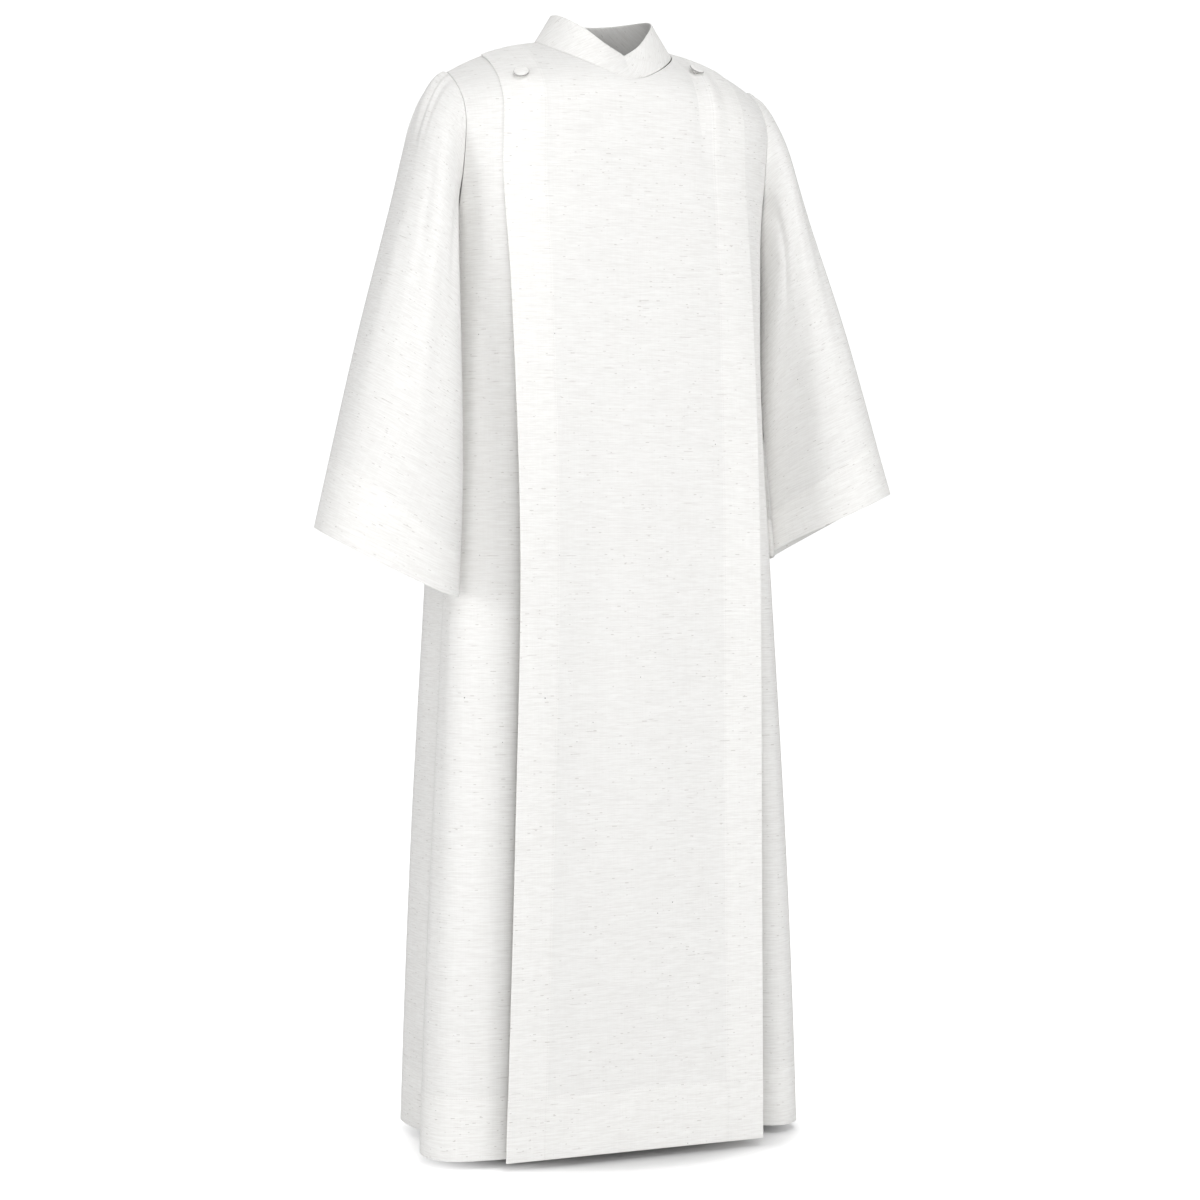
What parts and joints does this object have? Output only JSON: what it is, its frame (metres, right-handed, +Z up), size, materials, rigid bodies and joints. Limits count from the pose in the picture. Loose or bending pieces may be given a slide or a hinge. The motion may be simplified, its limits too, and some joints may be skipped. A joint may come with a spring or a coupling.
{
  "type": "alb robe",
  "caption": "Long off-white alb with a stand collar crossed in front, wide set-in sleeves and an overlay front panel held by covered buttons.",
  "frame": {"origin": "midway between the two points where the shoulder seams meet the neckline", "axes": "+Z up along the garment, -Y is the garment's front, +X is the wearer's left side"},
  "size_m": [0.7974, 0.3557, 1.4642],
  "materials": {
    "panel_cloth": "matte slubbed plain weave, off-white, threads running across",
    "body_cloth": "matte slubbed plain weave, off-white",
    "sleeve_cloth": "matte slubbed plain weave, off-white, threads following the sleeve's slant",
    "collar_right_cloth": "matte slubbed plain weave, off-white, cut on the bias",
    "collar_left_cloth": "matte slubbed plain weave, off-white, cut on the bias the other way",
    "button_cloth": "the same cloth stretched over a button"
  },
  "bodies": {
    "root": {"front_panel": "panel_cloth", "right_side_front": "body_cloth", "left_side_front": "body_cloth", "back": "body_cloth", "right_sleeve": "sleeve_cloth", "left_sleeve": "sleeve_cloth", "collar_right": "collar_right_cloth", "collar_left": "collar_left_cloth", "button_right": "button_cloth", "button_left": "button_cloth"}
  },
  "joints": []
}
